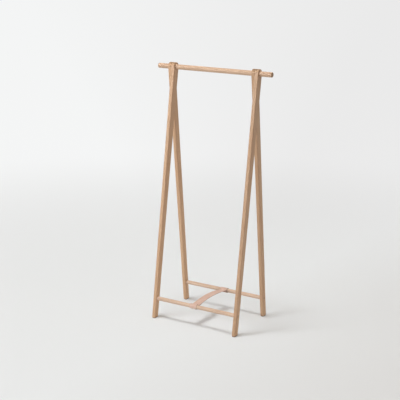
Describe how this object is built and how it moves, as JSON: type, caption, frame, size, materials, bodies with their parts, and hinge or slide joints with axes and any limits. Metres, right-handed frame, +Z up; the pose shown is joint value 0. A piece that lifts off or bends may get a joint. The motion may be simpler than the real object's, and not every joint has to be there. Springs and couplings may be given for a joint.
{
  "type": "clothes rack",
  "caption": "Free-standing folding clothes rack: a round hanging rod through the heads of tapered wooden A-frame legs, with round lower rails and a leather spreader strap.",
  "frame": {"origin": "on the floor, under the middle of the rack", "axes": "+Z up, +X along the hanging rod to the right as seen from the front, +Y from the front to the back"},
  "size_m": [0.768, 0.4356, 1.55],
  "materials": {
    "ash": "oiled pale ash with fine straight grain",
    "strap_leather": "natural vegetable-tanned leather, matte",
    "screw_steel": "plain steel",
    "washer_nylon": "plain off-white nylon",
    "pad_felt": "dark wool felt"
  },
  "bodies": {
    "rear_frame": {"hanging_rod": "ash", "rear_left_leg": "ash", "rear_right_leg": "ash", "rear_rail": "ash", "spreader_strap": "strap_leather", "rear_strap_screws": "screw_steel", "left_pivot_washer": "washer_nylon", "right_pivot_washer": "washer_nylon", "left_lock_pin": "ash", "right_lock_pin": "ash", "rear_left_foot_pad": "pad_felt", "rear_right_foot_pad": "pad_felt"},
    "front_frame": {"front_left_leg": "ash", "front_right_leg": "ash", "front_rail": "ash", "front_strap_screws": "screw_steel", "left_keeper_pin": "screw_steel", "right_keeper_pin": "screw_steel", "front_left_foot_pad": "pad_felt", "front_right_foot_pad": "pad_felt"}
  },
  "joints": [
    {"name": "fold", "type": "hinge", "parent": "rear_frame", "child": "front_frame", "pos_m": [0, 0, 1.524], "axis": [1, 0, 0], "range_deg": [0, 13.2], "deforming": ["spreader_strap"]}
  ]
}
